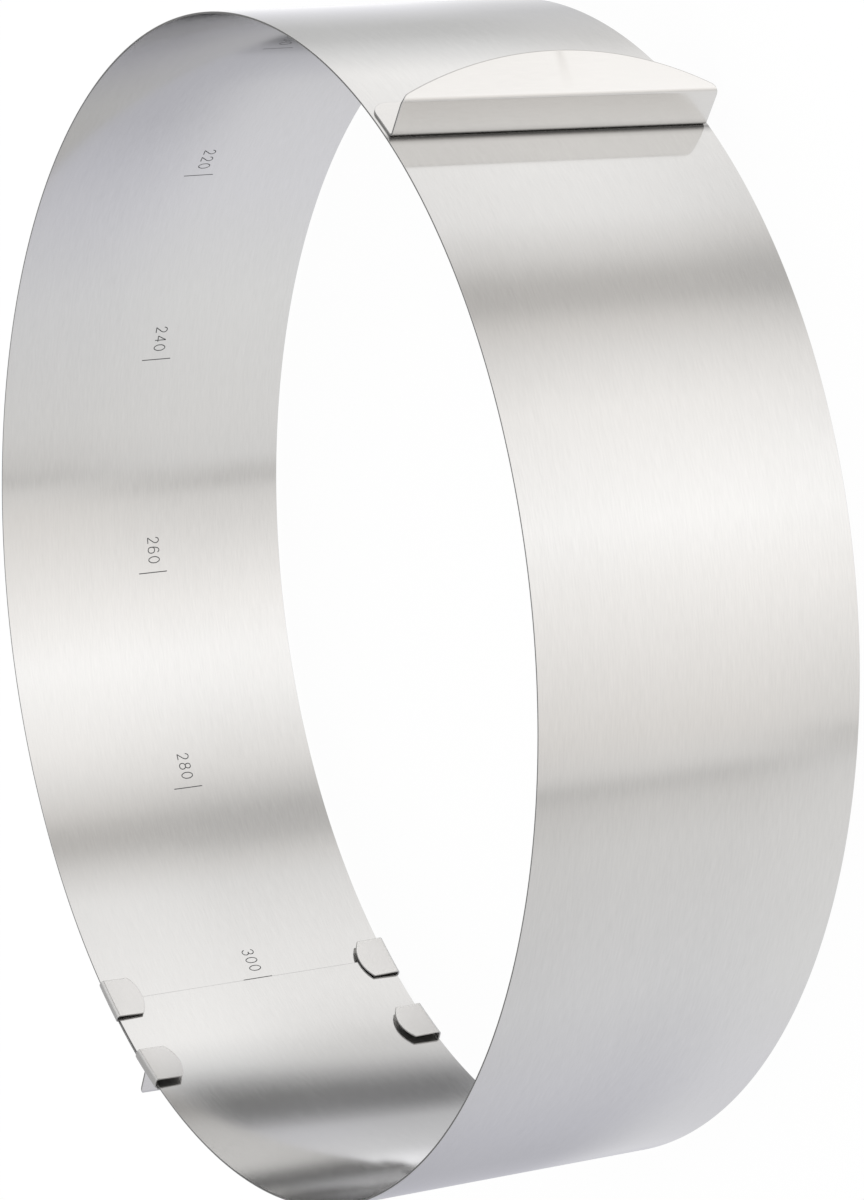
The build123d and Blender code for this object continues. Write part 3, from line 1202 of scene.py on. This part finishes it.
def dark_scrim():
    """A soft-edged dark scrim that stands beside the ring."""
    material, tree, shader = new_finish("dark_scrim")
    tree.nodes.remove(shader)
    place = split(tree, object_place(tree))
    height = maths(tree, "SUBTRACT", place["Z"], SCRIM_PLACE[2])
    side = maths(tree, "SUBTRACT", place["Y"], SCRIM_PLACE[1])
    side = maths(tree, "SUBTRACT", side, maths(tree, "MULTIPLY", height, SCRIM_LEAN))
    across = fade(tree, side, SCRIM_CORE[0], SCRIM_EDGE[0])
    upright = fade(tree, height, SCRIM_CORE[1], SCRIM_EDGE[1])
    skirt = fade(tree, maths(tree, "SUBTRACT", side, SKIRT_PLACE), SKIRT_CORE, SKIRT_EDGE)
    thickness = maths(
        tree, "MAXIMUM", maths(tree, "MULTIPLY", across, SCRIM_DARKNESS),
        maths(tree, "MULTIPLY", skirt, SKIRT_DARKNESS),
    )
    passing = maths(tree, "MULTIPLY_ADD", maths(tree, "MULTIPLY", thickness, upright), -1, 1)
    gauze = tree.nodes.new("ShaderNodeBsdfTransparent")
    tree.links.new(passing, gauze.inputs["Color"])
    link(tree, gauze, "BSDF", tree.nodes["Material Output"], "Surface")
    bm = bmesh.new()
    bmesh.ops.create_grid(bm, x_segments=1, y_segments=1, size=1)
    reach = SKIRT_EDGE - SKIRT_PLACE + SCRIM_LEAN * SCRIM_EDGE[1]
    bmesh.ops.scale(bm, verts=bm.verts, vec=(SCRIM_EDGE[1], reach, 1))
    upend = Matrix.Rotation(math.pi / 2, 3, "Y")
    bmesh.ops.rotate(bm, verts=bm.verts, cent=(0, 0, 0), matrix=upend)
    bmesh.ops.translate(bm, verts=bm.verts, vec=SCRIM_PLACE)
    show_in_reflections_only(finished_piece("dark_scrim", bm, material))


def studio_world():
    """White, but a plain pale grey to metal that mirrors it above and below the studio's wall."""
    world = bpy.data.worlds.new("studio")
    world.use_nodes = True
    tree = world.node_tree
    path = tree.nodes.new("ShaderNodeLightPath")
    shown = tree.nodes.new("ShaderNodeMix")
    shown.data_type = "RGBA"
    shown.inputs["A"].default_value = (1, 1, 1, 1)
    shown.inputs["B"].default_value = (WORLD_GREY, WORLD_GREY, WORLD_GREY, 1)
    tree.links.new(path.outputs["Is Glossy Ray"], shown.inputs["Factor"])
    link(tree, shown, "Result", tree.nodes["Background"], "Color")
    bpy.context.scene.world = world


def floor_finish():
    """A plain pale floor that the camera sees nearly white, with a faint mottle."""
    material, tree, matt = new_finish("pale_floor")
    matt.inputs["Roughness"].default_value = FLOOR_ROUGHNESS
    mottle = even_noise(tree, MOTTLE_SCALE)
    mottle = maths(tree, "MULTIPLY_ADD", mottle, MOTTLE_DEPTH, 1 - MOTTLE_DEPTH / 2)
    paint(tree, matt, bpy.context.scene.cake_ring_colours.floor, mottle)
    glow = tree.nodes.new("ShaderNodeEmission")
    glow.inputs["Color"].default_value = (1, 1, 1, 1)
    glow.inputs["Strength"].default_value = 1
    path = tree.nodes.new("ShaderNodeLightPath")
    share = maths(tree, "MULTIPLY", path.outputs["Is Camera Ray"], FLOOR_WHITENESS)
    mix = tree.nodes.new("ShaderNodeMixShader")
    tree.links.new(share, mix.inputs["Fac"])
    tree.links.new(matt.outputs["BSDF"], mix.inputs[1])
    tree.links.new(glow.outputs["Emission"], mix.inputs[2])
    link(tree, mix, "Shader", tree.nodes["Material Output"], "Surface")
    return material


def soft_lamp(name, place, size, power):
    """A large soft lamp that looks at the ring and stays out of its reflections."""
    lamp = bpy.data.lights.new(name, "AREA")
    lamp.shape = "SQUARE"
    lamp.size = size
    lamp.energy = power
    holder = bpy.data.objects.new(name, lamp)
    bpy.context.scene.collection.objects.link(holder)
    holder.location = place
    aim = Vector(LAMPS_AIM) - Vector(place)
    holder.rotation_euler = aim.to_track_quat("-Z", "Y").to_euler()
    holder.visible_glossy = False


def photograph_camera():
    """The camera of the photograph, which looks down on the ring."""
    camera = bpy.data.cameras.new("camera")
    camera.lens = CAMERA_LENS
    camera.sensor_width = CAMERA_SENSOR
    camera.clip_start, camera.clip_end = CAMERA_REACH
    viewer = bpy.data.objects.new("camera", camera)
    bpy.context.scene.collection.objects.link(viewer)
    back = Vector(CAMERA_BACK).normalized()
    up = back.cross(Vector(CAMERA_RIGHT)).normalized()
    turn = Matrix((up.cross(back), up, back)).transposed().to_4x4()
    viewer.matrix_world = Matrix.Translation(CAMERA_PLACE) @ turn
    bpy.context.scene.camera = viewer


class CAKERING_OT_stage(bpy.types.Operator):
    """Set up the floor, the soft light and the camera"""

    bl_idname = "cake_ring.stage"
    bl_label = "Set the stage"

    def execute(self, context):
        bm = bmesh.new()
        bmesh.ops.create_grid(bm, x_segments=1, y_segments=1, size=FLOOR_REACH)
        floor = finished_piece("floor", bm, floor_finish())
        floor.visible_glossy = False
        for lamp in LAMPS:
            soft_lamp(*lamp)
        studio_world()
        studio_wall()
        dark_scrim()
        photograph_camera()
        context.scene.view_settings.view_transform = "Standard"
        return {"FINISHED"}


class CAKERING_PT_panel(bpy.types.Panel):
    """Lists the ring's pieces in the sidebar"""

    bl_label = "Adjustable cake ring"
    bl_idname = "CAKERING_PT_panel"
    bl_space_type = "VIEW_3D"
    bl_region_type = "UI"
    bl_category = "Cake Ring"

    def draw(self, context):
        layout = self.layout
        for name in STEPS:
            layout.operator(f"cake_ring.{name}")
        for group in (context.scene.cake_ring_sizes, context.scene.cake_ring_colours):
            box = layout.box()
            for name in group.bl_rna.properties.keys():
                if name not in ("rna_type", "name"):
                    box.prop(group, name)


STEPS = ("strip", "lugs", "scale", "handles", "stage")
CLASSES = (
    CakeRingSizes, CakeRingColours, CAKERING_OT_strip, CAKERING_OT_lugs, CAKERING_OT_scale,
    CAKERING_OT_handles, CAKERING_OT_stage, CAKERING_PT_panel,
)


def register():
    for item in CLASSES:
        bpy.utils.register_class(item)
    bpy.types.Scene.cake_ring_sizes = bpy.props.PointerProperty(type=CakeRingSizes)
    bpy.types.Scene.cake_ring_colours = bpy.props.PointerProperty(type=CakeRingColours)


def unregister():
    del bpy.types.Scene.cake_ring_colours
    del bpy.types.Scene.cake_ring_sizes
    for item in reversed(CLASSES):
        bpy.utils.unregister_class(item)


def main():
    register()
    for name in STEPS:
        getattr(bpy.ops.cake_ring, name)()


if __name__ == "__main__":
    main()
